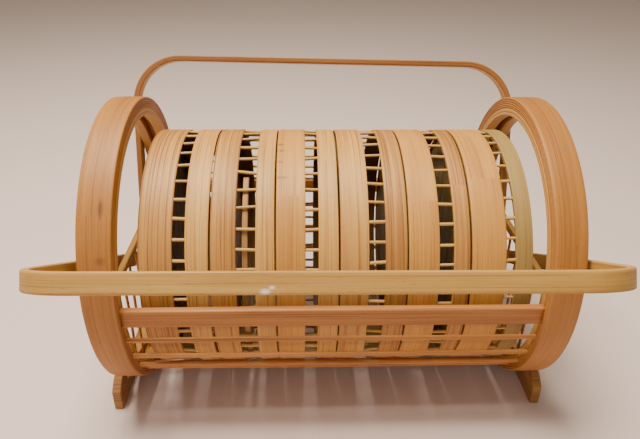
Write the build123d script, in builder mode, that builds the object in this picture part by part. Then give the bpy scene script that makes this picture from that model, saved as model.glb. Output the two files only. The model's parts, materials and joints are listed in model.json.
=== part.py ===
from math import cos, radians, sin, sqrt
import os

from build123d import *

# Driving dimensions, in millimetres and degrees.
# X runs along the carrier, Y towards its back and Z up. The soles stand on Z = 0, and the
# origin is under the middle of the whole object's outline with both handles at rest.

# End rings: a dark outer ply, lined by two pale narrow hoops with a groove between them.
ring_face_x = 86.9
ring_width = 11.8
ring_radius = 58.5
outer_ply = 4.5
inner_ply = 2.8
inner_hoop_width = 4.2
ring_edge_round = 0.5

# Cradle: two wide side rails and fourteen round rods, let into the rings' inner faces.
rail_thickness = 3.0
rail_height = 7.3
rail_outer_y = 56.0
rail_drop = 2.1
rail_tenon = (1.6, 5.0)
socket_depth = 4.0
rod_radius = 1.0
rod_circle = 55.1
rods_per_side = 7
first_rod_angle = 14.0
rod_pitch_angle = 11.7

# End grilles: a crossbar in each ring's groove with thin sticks below it.
crossbar_thickness = 2.4
crossbar_height = 3.3
crossbar_top = 2.7
groove_let_in = 0.9
stick_radius = 0.6
stick_pitch = 10.0
sticks_per_ring = 9

# Feet: a board on edge against each ring's outer face.
foot_thickness = 3.7
foot_half_length = 39.5
foot_end_height = 9.3
foot_top_half = 34.5
foot_top_height = 13.2
foot_saddle_half = 28.0
foot_saddle_height = 6.7
ring_clearance = 3.8
foot_dowel_radius = 0.8
foot_dowel_place = (5.0, -56.75)

# Handles: bent flat strips on pins in the rings' outer faces.
strip_thickness = 2.6
strip_width = 6.4
front_corner = 19.0
rear_corner = 22.0
leg_tail = 3.2
pin_radius = 1.5
pin_clearance = 0.05
pin_depth = 4.0
pin_head_radius = 2.8
pin_head_thickness = 0.9
side_gap = 0.3
spacer_radius = 3.2
front_pivot = (41.9, -37.5)
front_reach = 154.3
front_rise_angle = 29.3
front_leg_x = 90.3
rear_pivot = (22.2, -51.7)
rear_reach = 119.0
rear_lean_angle = 17.9
rear_leg_x = 87.3

# Coasters: a wide base hoop with a disc in it, a ring of pegs and a narrow rim hoop.
# The hoops are split by hand, so each coaster has its own base width, gap and rim width.
coaster_radius = 49.28
coaster_wall = 2.0
coaster_sizes = [
    (11.9, 4.6, 8.2),
    (9.3, 6.8, 6.9),
    (10.4, 4.7, 7.3),
    (10.4, 5.8, 7.9),
    (11.0, 5.2, 6.0),
    (12.6, 3.3, 6.3),
]
stack_start_x = -69.5
stack_gap = 0.6
coaster_drop = 4.4
coaster_edge_round = 0.6
disc_thickness = 2.0
peg_radius = 0.6
pegs_per_coaster = 41
peg_turns = [94.7, 90.1, 90.4, 96.2, 97.4, 95.0]
peg_let_in = 2.0

# Places that follow from the driving dimensions.
axis_z = ring_radius + ring_clearance
front_edge_y = (
    front_pivot[0]
    - front_reach * cos(radians(front_rise_angle))
    - strip_width / 2 * sin(radians(front_rise_angle))
)
rear_edge_y = (
    rear_pivot[0]
    + rear_reach * sin(radians(rear_lean_angle))
    + strip_width / 2 * cos(radians(rear_lean_angle))
)
axis_y = -(front_edge_y + rear_edge_y) / 2
ring_inner_x = ring_face_x - ring_width
ring_middle_x = ring_face_x - ring_width / 2
ply_radius = ring_radius - outer_ply
sides = {"left": -1, "right": 1}

os.makedirs("parts", exist_ok=True)


def save(piece, name):
    piece.part.label = name
    export_step(piece.part, f"parts/{name}.step")


def across(x, drop=0.0):
    """A plane square to the rings' axis, centred on it or that far below it."""
    return Plane(origin=(x, axis_y, axis_z - drop), x_dir=(0, 1, 0), z_dir=(1, 0, 0))


def hoop(plane, radius, wall, width, edge_round, inserts=()):
    """A plain hoop that stands on its plane, with beds cut for what is let into it."""
    with BuildPart() as piece:
        with BuildSketch(plane):
            Circle(radius)
            Circle(radius - wall, mode=Mode.SUBTRACT)
        extrude(amount=width)
        fillet(piece.edges().filter_by(GeomType.CIRCLE), edge_round)
        for insert in inserts:
            add(insert.part, mode=Mode.SUBTRACT)
    return piece


def rod(y, z):
    """A round rod from ring to ring, at a place measured from the rings' axis."""
    half_length = ring_inner_x + socket_depth
    with BuildPart() as piece:
        with BuildSketch(across(-half_length)):
            with Locations((y, z)):
                Circle(rod_radius)
        extrude(amount=2 * half_length)
    return piece


def rail(side):
    """A flat rail with a thin tenon at each end, on the front (-1) or the rear (1)."""
    tenon_thickness, tenon_height = rail_tenon
    half_tenon = ring_inner_x + socket_depth
    with BuildPart() as piece:
        with BuildSketch(across(-ring_inner_x)):
            with Locations((side * (rail_outer_y - rail_thickness / 2), -rail_drop)):
                Rectangle(rail_thickness, rail_height)
        extrude(amount=2 * ring_inner_x)
        fillet(piece.edges().filter_by(Axis.X), 0.8)
        with BuildSketch(across(-half_tenon)):
            with Locations((side * (rail_outer_y - tenon_thickness / 2), -rail_drop)):
                Rectangle(tenon_thickness, tenon_height)
        extrude(amount=2 * half_tenon)
    return piece


def crossbar(side):
    """A strip across the ring, with both ends let into the groove's floor."""
    length = 2 * (ply_radius + groove_let_in)
    with BuildPart() as piece:
        with BuildSketch(across(side * ring_middle_x - crossbar_thickness / 2)):
            with Locations((0, crossbar_top - crossbar_height / 2)):
                Rectangle(length, crossbar_height)
        extrude(amount=crossbar_thickness)
    return piece


def grille_sticks(side):
    """Thin upright sticks from the crossbar's middle down into the groove's floor."""
    stick_top = crossbar_top - crossbar_height / 2
    with BuildPart() as piece:
        for number in range(sticks_per_ring):
            y = (number - (sticks_per_ring - 1) / 2) * stick_pitch
            stick_foot = -sqrt(ply_radius**2 - y**2) - groove_let_in
            top = Plane(origin=(side * ring_middle_x, axis_y + y, axis_z + stick_top))
            with BuildSketch(top):
                Circle(stick_radius)
            extrude(amount=stick_foot - stick_top)
    return piece


def turned_piece(side, place, steps):
    """A turned piece square to the ring: (radius, inner x, outer x) for each step."""
    with BuildPart() as piece:
        for radius, inner_x, outer_x in steps:
            with BuildSketch(across(side * inner_x)):
                with Locations(place):
                    Circle(radius)
            extrude(amount=side * (outer_x - inner_x))
    return piece


def pivot_pin(side, place, leg_x):
    """A headed pin that carries one handle leg, with its tip in the ring."""
    head_x = leg_x + strip_thickness + side_gap
    shaft = (pin_radius, ring_face_x - pin_depth, head_x)
    head = (pin_head_radius, head_x, head_x + pin_head_thickness)
    return turned_piece(side, place, [shaft, head])


def foot(side, dowels):
    """A foot board against the ring's outer face, lower in the middle, with bevelled ends."""
    sole = -axis_z
    half_outline = [
        (0, sole),
        (foot_half_length, sole),
        (foot_half_length, sole + foot_end_height),
        (foot_top_half, sole + foot_top_height),
        (foot_saddle_half + 2, sole + foot_top_height),
        (foot_saddle_half, sole + foot_saddle_height),
        (0, sole + foot_saddle_height),
    ]
    with BuildPart() as piece:
        with BuildSketch(across(side * ring_face_x)):
            with BuildLine():
                Polyline(*half_outline, close=True)
            make_face()
            mirror(about=Plane.YZ)
        extrude(amount=side * foot_thickness)
        for dowel in dowels:
            add(dowel.part, mode=Mode.SUBTRACT)
    return piece


def handle(pivot, lean_angle, reach, leg_x, corner):
    """A U of bent strip, leaning back from upright by an angle, with rounded leg ends."""
    pivot_y, pivot_z = axis_y + pivot[0], axis_z + pivot[1]
    leg = Vector(0, sin(radians(lean_angle)), cos(radians(lean_angle)))
    across_strip = Vector(1, 0, 0).cross(leg)
    middle_x = leg_x + strip_thickness / 2
    grip = reach - strip_thickness / 2
    with BuildPart() as piece:
        with BuildSketch(Plane((0, pivot_y, pivot_z), x_dir=(1, 0, 0), z_dir=across_strip)):
            with BuildLine():
                FilletPolyline(
                    (-middle_x, -leg_tail),
                    (-middle_x, grip),
                    (middle_x, grip),
                    (middle_x, -leg_tail),
                    radius=corner,
                )
            trace(line_width=strip_thickness)
        extrude(amount=strip_width / 2, both=True)
        along_leg = Axis((0, pivot_y, pivot_z), leg)
        leg_ends = piece.edges().filter_by(Axis.X).group_by(along_leg)[0]
        fillet(leg_ends, strip_width / 2 - 0.05)
        with Locations((0, pivot_y, pivot_z)):
            Cylinder(
                pin_radius + pin_clearance,
                2 * (leg_x + strip_thickness + 1),
                rotation=(0, 90, 0),
                mode=Mode.SUBTRACT,
            )
    return piece


def together(pieces):
    """Separate like pieces that share one node."""
    with BuildPart() as group:
        for piece in pieces:
            add(piece.part)
    return group


# Rods, counted down from each rail to the bottom of the cradle.
rods = []
for side_name, side in {"front": -1, "rear": 1}.items():
    for number in range(rods_per_side):
        angle = radians(first_rod_angle + number * rod_pitch_angle)
        rods.append(rod(side * rod_circle * cos(angle), -rod_circle * sin(angle)))
        save(rods[-1], f"{side_name}_rod_{number + 1}")

rails = {"front": rail(-1), "rear": rail(1)}
for side_name, piece in rails.items():
    save(piece, f"{side_name}_rail")

# End rings with what is let into them.
front_pins, rear_pins, spacers, dowels = [], [], [], []
for side_name, side in sides.items():
    bar = crossbar(side)
    sticks = grille_sticks(side)
    with BuildPart() as bored_bar:
        add(bar.part)
        add(sticks.part, mode=Mode.SUBTRACT)
    save(bored_bar, f"{side_name}_crossbar")
    save(sticks, f"{side_name}_grille_sticks")

    front_pin = pivot_pin(side, front_pivot, front_leg_x)
    rear_pin = pivot_pin(side, rear_pivot, rear_leg_x)
    spacer = turned_piece(
        side, front_pivot, [(spacer_radius, ring_face_x, front_leg_x - side_gap)]
    )
    with BuildPart() as bored_spacer:
        add(spacer.part)
        add(front_pin.part, mode=Mode.SUBTRACT)
    foot_dowels = [
        turned_piece(
            side,
            (y, foot_dowel_place[1]),
            [(foot_dowel_radius, ring_face_x - pin_depth, ring_face_x + foot_thickness)],
        )
        for y in (-foot_dowel_place[0], foot_dowel_place[0])
    ]
    front_pins.append(front_pin)
    rear_pins.append(rear_pin)
    spacers.append(bored_spacer)
    dowels.extend(foot_dowels)
    save(foot(side, foot_dowels), f"{side_name}_foot")

    ring_start = min(side * ring_inner_x, side * ring_face_x)
    let_in = [bar, sticks, front_pin, rear_pin, *foot_dowels, *rods, *rails.values()]
    outer = hoop(
        across(ring_start), ring_radius, outer_ply, ring_width, ring_edge_round, let_in
    )
    save(outer, f"{side_name}_outer_ring")
    liner_starts = {
        "inboard": ring_inner_x,
        "outboard": ring_face_x - inner_hoop_width,
    }
    for place, start in liner_starts.items():
        low_x = min(side * start, side * (start + inner_hoop_width))
        liner = hoop(
            across(low_x), ply_radius, inner_ply, inner_hoop_width, ring_edge_round
        )
        save(liner, f"{side_name}_{place}_liner")

save(together(front_pins), "front_handle_pins")
save(together(rear_pins), "rear_handle_pins")
save(together(spacers), "front_handle_spacers")
save(together(dowels), "foot_dowels")

save(
    handle(front_pivot, front_rise_angle - 90, front_reach, front_leg_x, front_corner),
    "front_handle",
)
save(
    handle(rear_pivot, rear_lean_angle, rear_reach, rear_leg_x, rear_corner),
    "rear_handle",
)

# Coasters, standing on edge in the cradle with their wells towards +X.
start_x = stack_start_x
for number, (base_width, gap, rim_width) in enumerate(coaster_sizes, 1):
    rim_x = start_x + base_width + gap
    base = hoop(
        across(start_x, coaster_drop),
        coaster_radius,
        coaster_wall,
        base_width,
        coaster_edge_round,
    )
    rim = hoop(
        across(rim_x, coaster_drop),
        coaster_radius,
        coaster_wall,
        rim_width,
        coaster_edge_round,
    )
    with BuildPart() as disc:
        with BuildSketch(across(start_x + coaster_edge_round, coaster_drop)):
            Circle(coaster_radius - coaster_wall)
        extrude(amount=disc_thickness)
    with BuildPart() as pegs:
        with BuildSketch(across(start_x + base_width - peg_let_in, coaster_drop)):
            with PolarLocations(
                coaster_radius - coaster_wall / 2,
                pegs_per_coaster,
                start_angle=peg_turns[number - 1],
            ):
                Circle(peg_radius)
        extrude(amount=gap + 2 * peg_let_in)
    save(base, f"coaster_{number}_base_hoop")
    save(rim, f"coaster_{number}_rim_hoop")
    save(disc, f"coaster_{number}_base_disc")
    save(pegs, f"coaster_{number}_pegs")
    start_x = rim_x + rim_width + stack_gap

print(f"ring axis at Y {axis_y:.2f}, Z {axis_z:.2f}; stack ends at X {start_x - stack_gap:.2f}")
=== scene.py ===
import json
import math

import bmesh
import bpy
import numpy as np
from mathutils import Matrix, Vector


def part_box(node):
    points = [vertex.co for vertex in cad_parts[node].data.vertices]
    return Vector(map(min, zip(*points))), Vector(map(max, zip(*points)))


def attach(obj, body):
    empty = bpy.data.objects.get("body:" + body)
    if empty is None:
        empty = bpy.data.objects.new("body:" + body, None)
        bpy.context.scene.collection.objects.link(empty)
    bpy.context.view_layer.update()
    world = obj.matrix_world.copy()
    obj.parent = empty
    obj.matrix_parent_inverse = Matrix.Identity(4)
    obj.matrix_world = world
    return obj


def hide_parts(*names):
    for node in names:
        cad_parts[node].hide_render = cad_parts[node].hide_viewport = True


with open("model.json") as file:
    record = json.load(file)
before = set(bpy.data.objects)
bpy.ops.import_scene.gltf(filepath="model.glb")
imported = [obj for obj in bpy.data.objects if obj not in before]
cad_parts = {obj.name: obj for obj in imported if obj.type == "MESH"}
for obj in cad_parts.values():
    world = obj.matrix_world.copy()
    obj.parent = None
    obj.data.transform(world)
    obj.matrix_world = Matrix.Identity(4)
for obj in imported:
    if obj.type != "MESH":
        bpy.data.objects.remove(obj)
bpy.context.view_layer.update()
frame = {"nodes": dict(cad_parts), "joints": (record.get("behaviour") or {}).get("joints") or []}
nodes = frame["nodes"]
mm = 0.001
rng = np.random.default_rng(11)

# Where the end rings' shared axis runs, read from the frame.
ringLow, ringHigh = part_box("left_outer_ring")
axisY = (ringLow.y + ringHigh.y) / 2
axisZ = (ringLow.z + ringHigh.z) / 2
ringRadius = (ringHigh.z - ringLow.z) / 2

# The camera in the object frame: where it stands, its right, where it looks and its lens.
view = {
    "place": (-12.0 * mm, axisY - 222.97 * mm, axisZ + 129.64 * mm),
    "right": (0.9994, -0.0312, 0.0127),
    "forward": (0.0334, 0.8762, -0.4809),
    "lens": 33.3,
    "clipStart": 0.01,
}
studio = {
    "floorColour": (0.76, 0.60, 0.56),
    "skyHigh": (0.95, 0.87, 0.66),
    "skyLow": (0.44, 0.37, 0.32),
    "skyStrength": 0.40,
    "keyPower": 9.8,
    "keyPlace": (-0.12, 0.00, 0.70),
    "keySize": 0.34,
    "fillPower": 0.9,
    "fillPlace": (-0.30, -0.60, 0.34),
    "fillSize": 0.50,
    "keyColour": (1, 0.93, 0.78),
    "fillColour": (1, 0.97, 0.93),
    "floorHalf": 3.0,
    "floorRoughness": 0.85,
}


def makeCamera():
    camera = bpy.data.objects.new("camera", bpy.data.cameras.new("camera"))
    forward = np.array(view["forward"]) / np.linalg.norm(view["forward"])
    right = np.array(view["right"])
    right = right - forward * right.dot(forward)
    right = right / np.linalg.norm(right)
    up = np.cross(right, forward)
    turn = Matrix([(right[i], up[i], -forward[i]) for i in range(3)]).to_4x4()
    camera.matrix_world = Matrix.Translation(view["place"]) @ turn
    camera.data.lens = view["lens"]
    camera.data.clip_start = view["clipStart"]
    bpy.context.scene.collection.objects.link(camera)
    bpy.context.scene.camera = camera


# A square lamp whose face is turned towards the rings' middle.
def areaLight(name):
    light = bpy.data.lights.new(name, "AREA")
    light.size, light.energy = studio[f"{name}Size"], studio[f"{name}Power"]
    light.color = studio[f"{name}Colour"]
    lamp = bpy.data.objects.new(name, light)
    stand = studio[f"{name}Place"]
    away = np.array(stand) - np.array((0, axisY, axisZ))
    facing = Matrix.Identity(3)
    facing.col[2] = away / np.linalg.norm(away)
    side = np.cross((0, 0, 1), facing.col[2])
    facing.col[0] = side / np.linalg.norm(side)
    facing.col[1] = np.cross(facing.col[2], facing.col[0])
    lamp.matrix_world = Matrix.Translation(stand) @ facing.to_4x4()
    bpy.context.scene.collection.objects.link(lamp)


def plainMaterial(name, colour, roughness):
    material = bpy.data.materials.new(name)
    material.use_nodes = True
    shader = material.node_tree.nodes["Principled BSDF"]
    shader.inputs["Base Color"].default_value = (*colour, 1)
    shader.inputs["Roughness"].default_value = roughness
    return material


def makeStudio():
    world = bpy.data.worlds.new("studio")
    world.use_nodes = True
    tree = world.node_tree
    sky = tree.nodes["Background"]
    sky.inputs["Strength"].default_value = studio["skyStrength"]
    direction = tree.nodes.new("ShaderNodeTexCoord")
    split = tree.nodes.new("ShaderNodeSeparateXYZ")
    ramp = tree.nodes.new("ShaderNodeValToRGB")
    ramp.color_ramp.elements[0].color = (*studio["skyLow"], 1)
    ramp.color_ramp.elements[1].color = (*studio["skyHigh"], 1)
    tree.links.new(direction.outputs["Generated"], split.inputs[0])
    tree.links.new(split.outputs["Z"], ramp.inputs["Fac"])
    tree.links.new(ramp.outputs["Color"], sky.inputs["Color"])
    bpy.context.scene.world = world
    areaLight("key")
    areaLight("fill")
    half = studio["floorHalf"]
    mesh = bpy.data.meshes.new("floor")
    corners = [(-half, -half, 0), (half, -half, 0), (half, half, 0), (-half, half, 0)]
    mesh.from_pydata(corners, [], [(0, 1, 2, 3)])
    floor = bpy.data.objects.new("floor", mesh)
    floor.data.materials.append(
        plainMaterial("paleFloor", studio["floorColour"], studio["floorRoughness"])
    )
    bpy.context.scene.collection.objects.link(floor)


makeCamera()
makeStudio()
print("camera, lights and floor made")


# Every bamboo finish is the same wood: fibres that run along the strip's own u direction, in
# metres, and change quickly across it in v. A finish says only how pale, red or streaky it is.
bambooLooks = {
    "ringSkin": {
        "pale": (0.446, 0.185, 0.035), "deep": (0.257, 0.086, 0.016),
        "streak": 0.50, "fleck": 0.55,
    },
    "linerSkin": {
        "pale": (0.589, 0.310, 0.075), "deep": (0.399, 0.176, 0.036),
        "streak": 0.40, "fleck": 0.30,
    },
    "hoopStriped": {
        "pale": (0.598, 0.292, 0.065), "deep": (0.271, 0.099, 0.020),
        "streak": 0.80, "fleck": 0.45,
    },
    "hoopPale": {
        "pale": (0.684, 0.365, 0.090), "deep": (0.380, 0.159, 0.034),
        "streak": 0.66, "fleck": 0.40,
    },
    "hoopSmooth": {
        "pale": (0.627, 0.297, 0.060), "deep": (0.370, 0.142, 0.026),
        "streak": 0.42, "fleck": 0.30,
    },
    "hoopGreen": {
        "pale": (0.389, 0.249, 0.072), "deep": (0.228, 0.129, 0.036),
        "streak": 0.50, "fleck": 0.30,
    },
    # painted shade: a darker copy of the hoop bamboo for the coasters' inner liners and the slipped
    # liner, standing for the shade inside the coasters
    "shadedInnerSkin": {
        "pale": (0.380, 0.194, 0.054), "deep": (0.190, 0.086, 0.023),
        "streak": 0.50, "fleck": 0.35,
    },
    "stripSkin": {
        "pale": (0.570, 0.318, 0.078), "deep": (0.361, 0.168, 0.035),
        "streak": 0.50, "fleck": 0.45,
    },
    "railSkin": {
        "pale": (0.446, 0.176, 0.041), "deep": (0.247, 0.076, 0.017),
        "streak": 0.60, "fleck": 0.45,
    },
    "rodSkin": {
        "pale": (0.560, 0.224, 0.054), "deep": (0.285, 0.107, 0.024),
        "streak": 0.45, "fleck": 0.30,
    },
    "pegSkin": {
        "pale": (0.589, 0.335, 0.096), "deep": (0.380, 0.185, 0.048),
        "streak": 0.35, "fleck": 0.20,
    },
    "discSkin": {
        "pale": (0.323, 0.202, 0.069), "deep": (0.152, 0.082, 0.025),
        "streak": 0.60, "fleck": 0.45,
    },
    "footSkin": {
        "pale": (0.399, 0.185, 0.048), "deep": (0.209, 0.082, 0.020),
        "streak": 0.55, "fleck": 0.45,
    },
    "cutEdge": {
        "pale": (0.340, 0.135, 0.030), "deep": (0.180, 0.060, 0.014),
        "streak": 0.55, "fleck": 0.50,
    },
}
bambooGrain = {
    "fibre": (50, 3600),      # cycles a metre along and across, for hair-fine fibre
    "line": (10, 1500),       # thin dark lines about a millimetre apart
    "streak": (12, 620),      # broader streaks between them
    "tone": (14, 90),         # slow change from place to place
    "fleck": (300, 2600),     # short dark bundle ends
    "roughness": (0.42, 0.60),
    "specular": 0.38,
    "bumpStrength": 0.55,
    "bumpDepth": 0.12 * mm,
    # noise values that a pattern starts and is full at, then what they turn into
    "lineRange": (0.54, 0.68),
    "streakRange": (0.34, 0.66),
    "fleckRange": (0.66, 0.78),
    "toneRange": (0.30, 0.70, -0.08, 0.40),
    "fibreRange": (0.30, 0.70, -0.16, 0.16),
    "raggedRange": (0.3, 0.7, -0.35, 0.35),
    "roughRange": (0.3, 0.7),
    "markEdge": (1.15, 0.35),    # shares of a mark's half size at which it starts and is full
    "streakShare": 0.55,
    "darkShare": 0.45,
    "fibreHeight": 0.4,
    "streakHeight": 0.6,
    "lineHeight": 0.5,
}


# Single marks on the finishes, each a soft-edged spot at a place on the object measured from the
# rings' axis, in millimetres, with half sizes along X, Y and Z. The pale ones are painted
# highlights.
bambooMarksAndHighlights = {
    "ringSkin": [
        {"place": (-78.8, -45.5, 36.8), "half": (1.0, 3.4, 4.0), "depth": 0.75},
        {"place": (-79.0, -54.4, 21.4), "half": (1.8, 2.5, 1.6), "depth": 0.45},
    ],
    "hoopSmooth": [
        {"place": (-19.6, -6.9, 44.4), "half": (1.7, 1.0, 1.0), "depth": 0.65},
        {"place": (-19.4, -11.1, 43.6), "half": (2.0, 0.8, 0.8), "depth": 0.60},
        {"place": (-19.5, -17.5, 41.7), "half": (1.3, 0.8, 0.8), "depth": 0.50},
        {"place": (-18.8, -24.4, 38.4), "half": (3.0, 0.8, 0.9), "depth": 0.65},
    ],
    # painted highlight: two pale spots on the front handle's grip stand for light glinting off the
    # bamboo
    "stripSkin": [
        {
            "place": (-21.4, -93.3, 36.6), "half": (1.6, 2.0, 0.8), "depth": 0.90,
            "colour": (0.80, 0.74, 0.66),
        },
        {
            "place": (-19.6, -93.0, 37.6), "half": (1.0, 2.0, 0.4), "depth": 0.90,
            "colour": (0.80, 0.74, 0.66),
        },
    ],
}


def bambooMaterial(name):
    look, wood = bambooLooks[name], bambooGrain
    material = bpy.data.materials.new(name)
    material.use_nodes = True
    tree = material.node_tree
    make, link = tree.nodes.new, tree.links.new
    shader = tree.nodes["Principled BSDF"]

    grainMap = make("ShaderNodeUVMap")
    grainMap.uv_map = "grain"

    def noise(kind, detail, distortion=0.0):
        mapping = make("ShaderNodeMapping")
        along, across = wood[kind]
        mapping.inputs["Scale"].default_value = (along, across, 1)
        texture = make("ShaderNodeTexNoise")
        texture.inputs["Scale"].default_value = 1
        texture.inputs["Detail"].default_value = detail
        texture.inputs["Distortion"].default_value = distortion
        link(grainMap.outputs["UV"], mapping.inputs["Vector"])
        link(mapping.outputs["Vector"], texture.inputs["Vector"])
        return texture.outputs["Fac"]

    def spread(value, low, high, newLow=0.0, newHigh=1.0):
        node = make("ShaderNodeMapRange")
        node.inputs["From Min"].default_value, node.inputs["From Max"].default_value = low, high
        node.inputs["To Min"].default_value, node.inputs["To Max"].default_value = newLow, newHigh
        link(value, node.inputs["Value"])
        return node.outputs["Result"]

    def combine(operation, first, second):
        node = make("ShaderNodeMath")
        node.operation = operation
        for socket, value in zip(node.inputs, (first, second)):
            if isinstance(value, (int, float)):
                socket.default_value = value
            else:
                link(value, socket)
        return node.outputs["Value"]

    def blend(amount, first, second):
        node = make("ShaderNodeMix")
        node.data_type = "RGBA"
        sockets = (node.inputs[0], node.inputs[6], node.inputs[7])    # factor, colours A and B
        for socket, value in zip(sockets, (amount, first, second)):
            if isinstance(value, (int, float)):
                socket.default_value = value
            elif isinstance(value, tuple):
                socket.default_value = (*value, 1)
            else:
                link(value, socket)
        return node.outputs[2]

    fibre = noise("fibre", 2)
    line = noise("line", 1)
    streak = noise("streak", 3, 0.15)
    tone = noise("tone", 2)
    fleck = noise("fleck", 1)
    thinLine = combine("MULTIPLY", spread(line, *wood["lineRange"]), look["streak"])
    depth = wood["streakShare"] * look["streak"]
    depth = combine("MULTIPLY", spread(streak, *wood["streakRange"]), depth)
    depth = combine("ADD", depth, thinLine)
    depth = combine("ADD", depth, spread(tone, *wood["toneRange"]))
    depth = combine("ADD", depth, spread(fibre, *wood["fibreRange"]))
    colour = blend(spread(depth, 0.0, 1.0), look["pale"], look["deep"])
    dark = tuple(wood["darkShare"] * c for c in look["deep"])
    fleckMask = combine("MULTIPLY", spread(fleck, *wood["fleckRange"]), look["fleck"])
    colour = blend(fleckMask, colour, dark)
    # Each mark blends in a soft-edged spot: the dark ones take the finish's darkest tone, and a
    # pale given colour is a painted highlight.
    for mark in bambooMarksAndHighlights.get(name, []):
        centred = make("ShaderNodeMapping")
        centred.vector_type = "TEXTURE"
        x, y, z = mark["place"]
        centred.inputs["Location"].default_value = (x * mm, axisY + y * mm, axisZ + z * mm)
        centred.inputs["Scale"].default_value = tuple(h * mm for h in mark["half"])
        objectPlace = make("ShaderNodeTexCoord")
        link(objectPlace.outputs["Object"], centred.inputs["Vector"])
        distance = make("ShaderNodeVectorMath")
        distance.operation = "LENGTH"
        link(centred.outputs["Vector"], distance.inputs[0])
        ragged = combine("ADD", distance.outputs["Value"], spread(fibre, *wood["raggedRange"]))
        spot = spread(ragged, *wood["markEdge"], 0.0, mark["depth"])
        colour = blend(spot, colour, mark.get("colour", dark))
    link(colour, shader.inputs["Base Color"])
    rough = spread(fibre, *wood["roughRange"], *wood["roughness"])
    link(rough, shader.inputs["Roughness"])
    shader.inputs["Specular IOR Level"].default_value = wood["specular"]
    height = combine("MULTIPLY", fibre, wood["fibreHeight"])
    height = combine("ADD", height, combine("MULTIPLY", streak, wood["streakHeight"]))
    height = combine("SUBTRACT", height, combine("MULTIPLY", thinLine, wood["lineHeight"]))
    bump = make("ShaderNodeBump")
    bump.inputs["Strength"].default_value = wood["bumpStrength"]
    bump.inputs["Distance"].default_value = wood["bumpDepth"]
    link(height, bump.inputs["Height"])
    link(bump.outputs["Normal"], shader.inputs["Normal"])
    return material


bamboo = {name: bambooMaterial(name) for name in bambooLooks}
print("bamboo finishes:", len(bamboo))


# Joins grids of points into one mesh. points[i, j] is the surface at parameters i and j, and
# grain[i, j] is its (along, across) place in metres. Rows that meet are merged.
def gridPiece(name, grids, finish, edgeFinish=None, edgeColumns=None):
    vertices, quads, grains, start = [], [], [], 0
    for points, grain in grids:
        rows, columns = points.shape[:2]
        index = np.arange(rows * columns).reshape(rows, columns) + start
        corners = (index[:-1, :-1], index[1:, :-1], index[1:, 1:], index[:-1, 1:])
        quads.append(np.stack(corners, -1).reshape(-1, 4))
        vertices.append(points.reshape(-1, 3))
        grains.append(grain.reshape(-1, 2))
        start += rows * columns
    vertices, quads = np.vstack(vertices), np.vstack(quads)
    grains = np.vstack(grains)[quads.ravel()] + rng.uniform(0, 7, 2)
    mesh = bpy.data.meshes.new(name)
    mesh.from_pydata(vertices.tolist(), [], quads.tolist())
    mesh.uv_layers.new(name="grain").data.foreach_set("uv", grains.astype(np.float32).ravel())
    if edgeFinish:  # the columns of the grid that lie on a strip's cut edges take its second finish
        onEdge = np.concatenate([
            np.tile(edgeColumns, points.shape[0] - 1) for points, grain in grids
        ])
        mesh.polygons.foreach_set("material_index", onEdge.astype(np.int32))
    work = bmesh.new()
    work.from_mesh(mesh)
    bmesh.ops.remove_doubles(work, verts=work.verts, dist=1e-7)
    bmesh.ops.recalc_face_normals(work, faces=work.faces)
    work.to_mesh(mesh)
    work.free()
    mesh.shade_smooth()
    piece = bpy.data.objects.new(name, mesh)
    mesh.materials.append(bamboo[finish])
    if edgeFinish:
        mesh.materials.append(bamboo[edgeFinish])
    bpy.context.scene.collection.objects.link(piece)
    return piece


def place(piece, body, *replaced, slot=None):
    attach(piece, body)
    if replaced:
        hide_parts(*replaced)


# A rectangle's outline with rounded corners, as a closed loop of (x, y) about its middle: each
# side is divided evenly and each corner is a quarter turn.
def roundedLoop(width, height, radius, sideSteps=2, cornerSteps=3):
    sideSteps = (sideSteps, sideSteps) if isinstance(sideSteps, int) else sideSteps
    halfX, halfY = width / 2 - radius, height / 2 - radius
    loop = []
    for number, (signX, signY) in enumerate([(1, -1), (1, 1), (-1, 1), (-1, -1)]):
        turn = (number - 1) * math.pi / 2 + np.linspace(0, math.pi / 2, cornerSteps + 1)
        corner = np.stack([
            signX * halfX + radius * np.cos(turn),
            signY * halfY + radius * np.sin(turn),
        ], -1)
        loop.append(corner)
        following = [(1, 1), (-1, 1), (-1, -1), (1, -1)][number]
        steps = sideSteps[number % 2]
        nextTurn = number * math.pi / 2
        end = np.array([
            following[0] * halfX + radius * math.cos(nextTurn),
            following[1] * halfY + radius * math.sin(nextTurn),
        ])
        share = np.linspace(0, 1, steps + 1)[1:-1, None]
        loop.append(corner[-1] * (1 - share) + end * share)
    loop = np.vstack(loop)
    return np.vstack([loop, loop[:1]])


# How far round a closed loop each of its places lies, starting from the first.
def loopLength(loop):
    steps = np.linalg.norm(np.diff(loop, axis=0), axis=1)
    return np.concatenate([[0], np.cumsum(steps)])


# A smooth closed wave round a hoop: a few sines of whole turns with random phases.
def handWave(turns, size, orders=(2, 3, 5)):
    phases = rng.uniform(0, 2 * math.pi, len(orders))
    wave = sum(np.sin(n * turns + p) / n for n, p in zip(orders, phases))
    return size * wave


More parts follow.
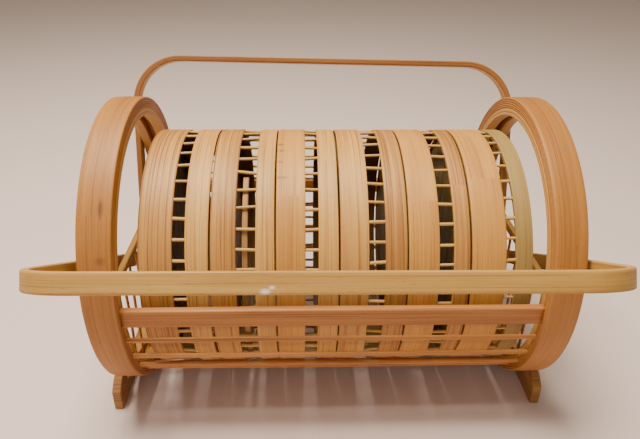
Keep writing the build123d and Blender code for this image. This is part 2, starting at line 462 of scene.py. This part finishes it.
# A band of revolution about a line along X: a closed (x, radius) profile turned through angles.
# The edges drift along X and the radius swells by a hand wave each.
def turnedBand(profile, centre, seam, steps, outOfRound=0.0, edgeDrift=0.0, span=2 * math.pi):
    turns = seam + np.linspace(0, span, steps + 1)
    middle = profile[:, 0].mean()
    drift = handWave(turns, edgeDrift, (1, 2, 4))[:, None]
    shift = handWave(turns, outOfRound)[:, None]
    half = np.ptp(profile[:, 0]) / 2
    x = profile[None, :, 0] + drift * (profile[None, :, 0] - middle) / half
    radius = profile[None, :, 1] + shift
    closed = abs(span - 2 * math.pi) < 1e-6
    if closed:
        x[-1], radius[-1] = x[0], radius[0]
    cosine, sine = np.cos(turns)[:, None], np.sin(turns)[:, None]
    y, z = centre[0] + radius * cosine, centre[1] + radius * sine
    if not closed:  # the ends of an open strip shut onto their own middle line
        x = np.vstack([np.full_like(x[:1], middle), x, np.full_like(x[:1], middle)])
        meanRadius = profile[:, 1].mean()
        caps = [
            (centre[0] + meanRadius * math.cos(a), centre[1] + meanRadius * math.sin(a))
            for a in (turns[0], turns[-1])
        ]
        y = np.vstack([np.full_like(y[:1], caps[0][0]), y, np.full_like(y[:1], caps[1][0])])
        z = np.vstack([np.full_like(z[:1], caps[0][1]), z, np.full_like(z[:1], caps[1][1])])
        turns = np.concatenate([turns[:1], turns, turns[-1:]])
    along = (turns - turns[0])[:, None] * profile[:, 1].max() + 0 * x
    across = loopLength(profile)[None, :] + 0 * x
    return np.stack([x, y, z], -1), np.stack([along, across], -1)


# A strip carried along a path: a closed section of (side, thickness) places at every path point.
def carriedStrip(path, sideways, outward, section, scale=None):
    scale = np.ones(len(path)) if scale is None else scale
    offsets = section[None, :, 0, None] * scale[:, None, None] * sideways[:, None, :]
    offsets = offsets + section[None, :, 1, None] * outward[:, None, :]
    points = path[:, None, :] + offsets
    flat = 0 * points[:1]    # the ends shut onto the path itself
    points = np.concatenate([path[:1, None] + flat, points, path[-1:, None] + flat])
    steps = np.concatenate([[0], np.cumsum(np.linalg.norm(np.diff(path, axis=0), axis=1))])
    along = np.concatenate([steps[:1], steps, steps[-1:]])[:, None] + 0 * points[..., 0]
    across = loopLength(section)[None, :] + 0 * points[..., 0]
    return points, np.stack([along, across], -1)


ringMake = {
    "linerWall": 2.8 * mm,
    "edgeRound": 0.5 * mm,
    "linerEdgeRound": 0.35 * mm,
    "linerDrift": 0.06 * mm,
    "linerTurn": 1.3,
    "plies": 5,
    "plyGroove": 0.32 * mm,
    "grooveWidth": 0.15 * mm,
    "crown": 0.12 * mm,
    "outOfRound": 0.22 * mm,
    "edgeDrift": 0.10 * mm,
    "steps": 192,
    "seams": {"left": 2.5, "right": 0.9},
}


# The profile's end faces dip in narrow bell curves where one glued ply meets the next, and its
# outer face swells by a half sine.
def ringProfile(low, high, inner, outer, plies, edgeRound):
    width, wall = high - low, outer - inner
    loop = roundedLoop(width, wall, edgeRound, (8 * plies, 8), 3)
    x, t = loop[:, 0].copy(), loop[:, 1].copy()
    joints = np.linspace(-wall / 2, wall / 2, plies + 1)[1:-1]
    dip = sum(np.exp(-(((t - j) / ringMake["grooveWidth"]) ** 2)) for j in joints)
    onFace = np.abs(np.abs(x) - width / 2) < 1e-6
    x = x - np.sign(x) * onFace * dip * ringMake["plyGroove"]
    crown = ringMake["crown"] * np.cos(math.pi * x / width) * (t > wall / 2 - 1e-6)
    return np.stack([x + (low + high) / 2, t + (inner + outer) / 2 + crown], -1)


# A ring is a turned band of plies, with a thin turned lining at each of its inner edges.
def makeRings():
    for side in ("left", "right"):
        low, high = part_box(f"{side}_outer_ring")
        linerLow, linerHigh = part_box(f"{side}_inboard_liner")
        plyRadius = (linerHigh.z - linerLow.z) / 2
        liner = ringMake["linerWall"]
        seam = ringMake["seams"][side]
        profile = ringProfile(
            low.x, high.x, plyRadius, ringRadius, ringMake["plies"], ringMake["edgeRound"]
        )
        grid = turnedBand(
            profile, (axisY, axisZ), seam, ringMake["steps"],
            ringMake["outOfRound"], ringMake["edgeDrift"],
        )
        piece = gridPiece(f"{side}_ring", [grid], "ringSkin")
        place(piece, "carrier", f"{side}_outer_ring", slot="ring_bamboo")
        for spot in ("inboard", "outboard"):
            low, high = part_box(f"{side}_{spot}_liner")
            profile = ringProfile(
                low.x, high.x, plyRadius - liner, plyRadius, 2, ringMake["linerEdgeRound"]
            )
            grid = turnedBand(
                profile, (axisY, axisZ), seam + ringMake["linerTurn"], ringMake["steps"],
                0, ringMake["linerDrift"],
            )
            piece = gridPiece(f"{side}_{spot}_lining", [grid], "linerSkin")
            place(piece, "carrier", f"{side}_{spot}_liner", slot="liner_bamboo")


makeRings()
print("end rings made")


coasterMake = {
    "wall": 2.0 * mm,
    "bandShare": 0.52,        # the outer band's part of the wall
    "linerStep": 0.15 * mm,   # how far the liner's edge stands back
    "edgeRound": 0.32 * mm,
    "outOfRound": 0.08 * mm,
    "clear": 0.1 * mm,        # keeps the bands inside the frame's hoops
    "linerTurn": 2.0,
    "edgeDrift": 0.10 * mm,
    "steps": 160,
    "finishes": [             # base hoop and rim hoop, for each coaster in turn
        ("hoopStriped", "hoopPale"), ("hoopStriped", "hoopPale"), ("hoopSmooth", "hoopPale"),
        ("hoopPale", "hoopStriped"), ("hoopSmooth", "hoopStriped"), ("hoopSmooth", "hoopGreen"),
    ],
    "pegSides": 7,
    "pegs": 41,
    "pegRadius": 0.58 * mm,
    "pegSlip": 0.004,         # radians that a peg strays round the hoop
    "pegTurns": [94.7, 90.1, 90.4, 96.2, 97.4, 95.0],    # degrees from +Y, as on the frame's pegs
    "pegLean": 0.035,
    "pegBulge": 0.08,
    "slats": 13,
    "slatGap": 0.12 * mm,
    "slatRound": 0.35 * mm,
}


# A hoop is an outer band and a narrower liner inside it, each a rounded section turned once round.
def makeHoop(node, low, high, finish, seam, body):
    centre = ((low.y + high.y) / 2, (low.z + high.z) / 2)
    radius = (high.z - low.z) / 2
    wall = coasterMake["wall"]
    band = wall * coasterMake["bandShare"]
    edge = coasterMake["edgeRound"]
    step = coasterMake["linerStep"]
    clear = coasterMake["clear"]
    drift = coasterMake["edgeDrift"]
    middleX = (low.x + high.x) / 2
    outer = roundedLoop(high.x - low.x, band, edge, (2, 8), 3)
    outer = outer + (middleX, radius - band / 2 - clear)
    grid = turnedBand(
        outer, centre, seam, coasterMake["steps"], coasterMake["outOfRound"], drift
    )
    outerBand = gridPiece(f"{node}_band", [grid], finish)
    place(outerBand, body, node, slot="hoop_bamboo")
    inner = roundedLoop(high.x - low.x - 2 * step, wall - band, edge, (2, 4), 2)
    inner = inner + (middleX, radius - wall + (wall - band) / 2 - clear)
    turn = seam + coasterMake["linerTurn"]
    grid = turnedBand(inner, centre, turn, coasterMake["steps"], 0, drift)
    # the liner takes the darker finish, painted shade for the inside of the hoop
    liner = gridPiece(f"{node}_liner", [grid], "shadedInnerSkin")
    place(liner, body, slot="hoop_bamboo")


# Each peg is a short tapering tube that bulges a little at its middle and leans by a random hair.
def makePegs(number, body):
    node = f"coaster_{number}_pegs"
    low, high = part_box(node)
    hoopLow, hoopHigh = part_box(f"coaster_{number}_rim_hoop")
    centre = np.array([(hoopLow.y + hoopHigh.y) / 2, (hoopLow.z + hoopHigh.z) / 2])
    circle = hoopHigh.z - centre[1] - coasterMake["wall"] / 2
    count = coasterMake["pegs"]
    first = math.radians(coasterMake["pegTurns"][number - 1])
    grids = []
    around = np.linspace(0, 2 * math.pi, coasterMake["pegSides"] + 1)
    share = np.array([0, 0, 0.3, 0.7, 1, 1])
    closing = np.array([0, 1, 1, 1, 1, 0])
    for peg in range(count):
        angle = first + 2 * math.pi * peg / count + rng.normal(0, coasterMake["pegSlip"])
        thickness = coasterMake["pegRadius"] * rng.uniform(0.85, 1.1)
        lean = rng.normal(0, coasterMake["pegLean"], 2)
        x = low.x + (high.x - low.x) * share
        middle = centre + circle * np.array([math.cos(angle), math.sin(angle)])
        slide = (share - 0.5)[:, None] * (high.x - low.x) * lean
        bulge = thickness * closing * (1 + coasterMake["pegBulge"] * np.sin(math.pi * share))
        points = np.stack([
            x[:, None] + 0 * around[None, :],
            middle[0] + slide[:, :1] + bulge[:, None] * np.cos(around),
            middle[1] + slide[:, 1:] + bulge[:, None] * np.sin(around),
        ], -1)
        grain = np.stack([
            x[:, None] + rng.uniform(0, 3) + 0 * around,
            around * thickness + 0 * x[:, None],
        ], -1)
        grids.append((points, grain))
    piece = gridPiece(f"coaster_{number}_peg_ring", grids, "pegSkin")
    place(piece, body, node, slot="stick_bamboo")


# The base is a row of slats: each is a rounded section across, run from edge to edge of a circle.
def makeBase(number, body):
    node = f"coaster_{number}_base_disc"
    low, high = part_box(node)
    centre = np.array([(low.y + high.y) / 2, (low.z + high.z) / 2])
    radius = (high.z - low.z) / 2
    slats = coasterMake["slats"]
    edges = np.linspace(-radius, radius, slats + 1)
    grids = []
    for near, far in zip(edges[:-1], edges[1:]):
        section = roundedLoop(
            high.x - low.x, far - near - coasterMake["slatGap"], coasterMake["slatRound"],
            (8, 1), 2,
        )
        y = section[:, 1] + (near + far) / 2
        half = np.sqrt(np.maximum(radius**2 - y**2, 1e-9))
        share = np.array([-1, -1, -0.5, 0, 0.5, 1, 1])
        z = share[:, None] * half[None, :]
        x = section[None, :, 0] + (low.x + high.x) / 2 + 0 * z
        wide = y[None, :] + 0 * z
        middleZ = half.mean()
        for end in (0, -1):
            x[end], wide[end] = (low.x + high.x) / 2, (near + far) / 2
            z[end] = math.copysign(middleZ, share[end])
        points = np.stack([x, centre[0] + wide, centre[1] + z], -1)
        grain = np.stack([z + rng.uniform(0, 3), loopLength(section)[None, :] + 0 * z], -1)
        grids.append((points, grain))
    piece = gridPiece(f"coaster_{number}_base", grids, "discSkin")
    place(piece, body, node, slot="disc_bamboo")


def makeCoasters():
    for number, (baseFinish, rimFinish) in enumerate(coasterMake["finishes"], 1):
        body = f"coaster_{number}"
        for part, finish in (("base_hoop", baseFinish), ("rim_hoop", rimFinish)):
            node = f"coaster_{number}_{part}"
            low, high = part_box(node)
            makeHoop(node, low, high, finish, rng.uniform(0.6, 2.4), body)
        makePegs(number, body)
        makeBase(number, body)


makeCoasters()
print("coasters made")


handleMake = {
    "thickness": 2.6 * mm,
    "width": 6.4 * mm,
    "tail": 3.2 * mm,
    "edgeRound": 0.5 * mm,
    "tailSteps": 7,
    "legSteps": 26,
    "turnSteps": 15,
    "gripSteps": 41,
}


# A U: up one leg, a quarter turn, along the grip and back down, as a path in the handle's plane.
def handlePath(halfWidth, reach, corner):
    tail = handleMake["tail"]
    tailPart = -tail * np.cos(np.linspace(0, math.pi / 2, handleMake["tailSteps"]))
    leg = np.linspace(0, reach - corner, handleMake["legSteps"])[1:]
    leg = np.concatenate([tailPart, leg])
    turn = np.linspace(0, math.pi / 2, handleMake["turnSteps"])[1:]
    grip = np.linspace(-halfWidth + corner, halfWidth - corner, handleMake["gripSteps"])[1:-1]
    x = np.concatenate([
        np.full(len(leg), -halfWidth),
        -halfWidth + corner * (1 - np.cos(turn)),
        grip,
    ])
    s = np.concatenate([
        leg,
        reach - corner + corner * np.sin(turn),
        np.full(len(grip), reach),
    ])
    side = len(leg) + len(turn)
    x = np.concatenate([x, -x[:side][::-1]])
    s = np.concatenate([s, s[:side][::-1]])
    return x, s


handlePlan = {
    "front_handle": {
        "joint": "front_handle_swing", "lean": 29.3 - 90, "reach": 154.3 * mm, "corner": 19 * mm,
        "endShift": (-0.6 * mm, -6.2 * mm),   # how far each side of the grip leans towards -X
        "rise": (0.0, 0.0), "twist": (-0.9 * mm, -0.3 * mm), "edge": "stripSkin",
    },
    "rear_handle": {
        "joint": "rear_handle_swing", "lean": 17.9, "reach": 119.0 * mm, "corner": 22 * mm,
        "endShift": (-0.5 * mm, 0.2 * mm),
        "rise": (1.6 * mm, -1.2 * mm), "twist": (0.0, 0.0), "edge": "cutEdge",
    },
}


# The strip is bent by hand: a fourth power of the way up a leg leans it sideways near the grip,
# and a straight blend from left to right lifts or twists one end of the grip against the other.
def makeHandles():
    for node, plan in handlePlan.items():
        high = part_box(node)[1]
        hinge = next(j for j in frame["joints"] if j["name"] == plan["joint"])
        pivot = np.array([0, *hinge["pos_m"][1:]])
        lean = math.radians(plan["lean"])
        leg = np.array([0, math.sin(lean), math.cos(lean)])
        side = np.cross((1, 0, 0), leg)
        thickness, width = handleMake["thickness"], handleMake["width"]
        halfWidth, reach = high.x - thickness / 2, plan["reach"] - thickness / 2
        x, s = handlePath(halfWidth, reach, plan["corner"])
        upLeg = np.clip(s / reach, 0, 1) ** 4
        toRight = (x / halfWidth + 1) / 2
        endShift, rise, twist = [
            (1 - toRight) * plan[k][0] + toRight * plan[k][1] for k in ("endShift", "rise", "twist")
        ]
        x, s = x + endShift * upLeg, s + rise * np.clip(s / reach, 0, 1)
        path = pivot + x[:, None] * np.array([1.0, 0, 0]) + s[:, None] * leg
        path = path + (twist * np.clip(s / reach, 0, 1))[:, None] * side
        direction = np.gradient(np.stack([x, s], -1), axis=0)
        direction /= np.linalg.norm(direction, axis=1)[:, None]
        outward = -direction[:, 1:] * np.array([1.0, 0, 0]) + direction[:, :1] * leg
        sideways = np.repeat(side[None], len(path), 0)
        tail = np.clip(-s / handleMake["tail"], 0, 0.999)
        section = roundedLoop(width, thickness, handleMake["edgeRound"], (3, 8), 3)
        grid = carriedStrip(path, sideways, outward, section, np.sqrt(1 - tail**2))
        middles = np.abs(section[:-1, 0] + section[1:, 0]) / 2
        onEdge = middles > width / 2 - 0.4 * handleMake["edgeRound"]
        piece = gridPiece(f"{node}_strip", [grid], "stripSkin", plan["edge"], onEdge)
        place(piece, node, node, slot="handle_bamboo")


makeHandles()
print("handles made")


stickMake = {
    "railRound": 0.75 * mm,
    "railBow": 0.12 * mm,
    "railTenon": 1.0 * mm,
    "barRound": 0.4 * mm,
    "barBow": 0.1 * mm,
    "grilleSticks": 9,
    "grilleSides": 8,
    "grilleSteps": 14,
    "railSteps": 60,
    "barSteps": 40,
    "grilleBow": 0.25 * mm,
    "grooveRadius": 54.5 * mm,
    "rodSides": 12,
    "rodBow": 0.16 * mm,
    "rodSteps": 40,
}


# A straight stick from end to end: its section is carried along a line that bows by a hair.
def straightStick(start, end, section, steps, bow, sideways):
    share = np.linspace(0, 1, steps)[:, None]
    start, end = np.array(start, float), np.array(end, float)
    along = (end - start) / np.linalg.norm(end - start)
    sideways = np.array(sideways, float)
    outward = np.cross(along, sideways)
    phase = rng.uniform(0, 2 * math.pi, 2)
    ends = np.sin(math.pi * share)
    wander = bow * ends * (
        np.sin(3 * share + phase[0]) * sideways + np.sin(4 * share + phase[1]) * outward
    )
    path = start + share * (end - start) + wander
    count = len(path)
    sideways, outward = (np.repeat(v[None], count, 0) for v in (sideways, outward))
    return carriedStrip(path, sideways, outward, section)


# Rods and rails run from ring to ring, each a section carried along a nearly straight line.
def makeCradle():
    around = np.linspace(0, 2 * math.pi, stickMake["rodSides"] + 1)
    for node in nodes:
        if "_rod_" not in node:
            continue
        low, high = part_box(node)
        radius = (high.z - low.z) / 2
        squash = rng.uniform(0.93, 1.0, 2)
        section = radius * np.stack([squash[0] * np.cos(around), squash[1] * np.sin(around)], -1)
        middle = (low + high) / 2
        grid = straightStick(
            (low.x, middle.y, middle.z), (high.x, middle.y, middle.z), section,
            stickMake["rodSteps"], stickMake["rodBow"], (0, 1, 0),
        )
        piece = gridPiece(f"{node}_stick", [grid], "rodSkin")
        place(piece, "carrier", node, slot="stick_bamboo")
    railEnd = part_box("right_outer_ring")[0].x + stickMake["railTenon"]
    for node in ("front_rail", "rear_rail"):
        low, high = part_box(node)
        section = roundedLoop(
            high.y - low.y, high.z - low.z, stickMake["railRound"], (10, 4), 3
        )
        middle = (low + high) / 2
        grid = straightStick(
            (-railEnd, middle.y, middle.z), (railEnd, middle.y, middle.z),
            section, stickMake["railSteps"], stickMake["railBow"], (0, 1, 0),
        )
        piece = gridPiece(f"{node}_strip", [grid], "railSkin")
        place(piece, "carrier", node, slot="rail_bamboo")


# A grille is a flat crossbar and a row of round sticks that end on the ring's inner circle.
def makeGrilles():
    around = np.linspace(0, 2 * math.pi, stickMake["grilleSides"] + 1)
    for side in ("left", "right"):
        low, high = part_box(f"{side}_crossbar")
        middle = (low + high) / 2
        section = roundedLoop(high.x - low.x, high.z - low.z, stickMake["barRound"], (5, 4), 2)
        grid = straightStick(
            (middle.x, low.y, middle.z), (middle.x, high.y, middle.z),
            section, stickMake["barSteps"], stickMake["barBow"], (1, 0, 0),
        )
        piece = gridPiece(f"{side}_crossbar_strip", [grid], "linerSkin")
        place(piece, "carrier", f"{side}_crossbar", slot="stick_bamboo")
        node = f"{side}_grille_sticks"
        low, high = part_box(node)
        radius = (high.x - low.x) / 2
        x = (low.x + high.x) / 2
        section = radius * np.stack([np.cos(around), np.sin(around)], -1)
        grids = []
        for y in np.linspace(low.y + radius, high.y - radius, stickMake["grilleSticks"]):
            foot = axisZ - math.sqrt(stickMake["grooveRadius"] ** 2 - (y - axisY) ** 2)
            grids.append(straightStick(
                (x, y, foot), (x, y, high.z), section,
                stickMake["grilleSteps"], stickMake["grilleBow"], (1, 0, 0),
            ))
        piece = gridPiece(f"{side}_sticks", grids, "rodSkin")
        place(piece, "carrier", node, slot="stick_bamboo")


# A foot is an outline of straight runs, given thickness and worn edges by two modifiers.
footMake = {
    "thickness": 3.7 * mm,
    "edgeWear": 0.45 * mm,
    "wearSegments": 2,
    "outline": [
        (39.5, 0), (39.5, 9.3), (34.5, 13.2), (30, 13.2), (28, 6.7),
        (-28, 6.7), (-30, 13.2), (-34.5, 13.2), (-39.5, 9.3), (-39.5, 0),
    ],
}


def makeFeet():
    outline = np.array(footMake["outline"]) * mm
    corners = np.vstack([outline, outline[:1]])
    share = np.linspace(0, 1, 9)[:-1, None]
    rim = np.vstack([a * (1 - share) + b * share for a, b in zip(corners[:-1], corners[1:])])
    for side in ("left", "right"):
        low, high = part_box(f"{side}_foot")
        x = low.x if side == "left" else high.x
        sign = -1 if side == "left" else 1
        points = np.column_stack([np.full(len(rim), x), axisY + rim[:, 0], rim[:, 1]])
        order = np.arange(len(points))[::sign]
        mesh = bpy.data.meshes.new(f"{side}_foot_board")
        mesh.from_pydata(points.tolist(), [], [order.tolist()])
        grain = points[order, 1:] + (rng.uniform(0, 3), 0)
        mesh.uv_layers.new(name="grain").data.foreach_set("uv", grain.astype(np.float32).ravel())
        piece = bpy.data.objects.new(f"{side}_foot_board", mesh)
        mesh.materials.append(bamboo["footSkin"])
        bpy.context.scene.collection.objects.link(piece)
        solidify = piece.modifiers.new("thickness", "SOLIDIFY")
        solidify.thickness = footMake["thickness"]
        bevel = piece.modifiers.new("wear", "BEVEL")
        bevel.width, bevel.segments = footMake["edgeWear"], footMake["wearSegments"]
        place(piece, "carrier", f"{side}_foot", slot="foot_bamboo")


# Pins and spacers are turned shapes: an (along, radius) profile carried once round.
turnedMake = {
    "pinRadius": 1.5 * mm,
    "pinDepth": 4.0 * mm,
    "headThickness": 0.9 * mm,
    "bushBore": 1.55 * mm,
    "sides": 32,
    "headDome": 0.25 * mm,
    "edge": 0.2 * mm,
}


def turnedPiece(profile, centre):
    around = np.linspace(0, 2 * math.pi, turnedMake["sides"] + 1)
    profile = np.array(profile, float)
    x = profile[:, :1] + 0 * around
    y = centre[0] + profile[:, 1:] * np.cos(around)
    z = centre[1] + profile[:, 1:] * np.sin(around)
    grain = np.stack([x + profile[:, 1:], around * profile[:, 1:].max() + 0 * x], -1)
    return np.stack([x, y, z], -1), grain


def makeFastenings():
    edge, dome = turnedMake["edge"], turnedMake["headDome"]
    for name in ("front", "rear"):
        node = f"{name}_handle_pins"
        low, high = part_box(node)
        centre = ((low.y + high.y) / 2, (low.z + high.z) / 2)
        head, shank = (high.z - low.z) / 2, turnedMake["pinRadius"]
        tall = turnedMake["headThickness"]
        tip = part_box("right_outer_ring")[1].x - turnedMake["pinDepth"]
        grids = []
        for sign in (-1, 1):
            end = high.x
            profile = [
                (tip, 0), (tip, shank), (end - tall, shank), (end - tall, head - edge),
                (end - tall + edge, head), (end - dome - edge, head),
                (end - dome, head - 2 * edge),
                (end - 0.2 * dome, head * 0.5), (end, 0),
            ]
            grids.append(turnedPiece([(sign * x, r) for x, r in profile], centre))
        piece = gridPiece(f"{node}_turned", grids, "footSkin")
        place(piece, "carrier", node, slot="stick_bamboo")
    low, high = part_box("front_handle_spacers")
    centre = ((low.y + high.y) / 2, (low.z + high.z) / 2)
    outer, bore = (high.z - low.z) / 2, turnedMake["bushBore"]
    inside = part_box("right_outer_ring")[1].x
    grids = []
    for sign in (-1, 1):
        profile = [
            (inside, bore), (inside, outer - edge), (inside + edge, outer),
            (high.x - edge, outer), (high.x, outer - edge), (high.x, bore), (inside, bore),
        ]
        grids.append(turnedPiece([(sign * x, r) for x, r in profile], centre))
    piece = gridPiece("spacer_bushes", grids, "rodSkin")
    place(piece, "carrier", "front_handle_spacers", slot="stick_bamboo")
    nodes["foot_dowels"].material_slots[0].material = bamboo["pegSkin"]


# The second coaster's inner liner has slipped part way out: a thin strip bent round inside the
# pegs, open at its ends.
slippedLiner = {
    "x": (-33.0, -30.8), "radius": 46.9, "wall": 0.8, "edgeRound": 0.25,    # millimetres
    "start": 118, "span": 150,    # degrees round from the back
    "steps": 110,
}


def makeSlippedLiner():
    low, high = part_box("coaster_2_rim_hoop")
    centre = ((low.y + high.y) / 2, (low.z + high.z) / 2)
    spot = slippedLiner
    width = (spot["x"][1] - spot["x"][0]) * mm
    section = roundedLoop(width, spot["wall"] * mm, spot["edgeRound"] * mm, (3, 1), 2)
    section = section + (sum(spot["x"]) / 2 * mm, spot["radius"] * mm)
    grid = turnedBand(
        section, centre, math.radians(spot["start"]), spot["steps"], 0, 0,
        math.radians(spot["span"]),
    )
    # its finish is the darker one, painted with the shade inside the coaster
    piece = gridPiece("coaster_2_slipped_liner", [grid], "shadedInnerSkin")
    place(piece, "coaster_2", slot="hoop_bamboo")


makeCradle()
makeGrilles()
makeFeet()
makeFastenings()
makeSlippedLiner()
print("cradle, grilles, feet and fastenings made")
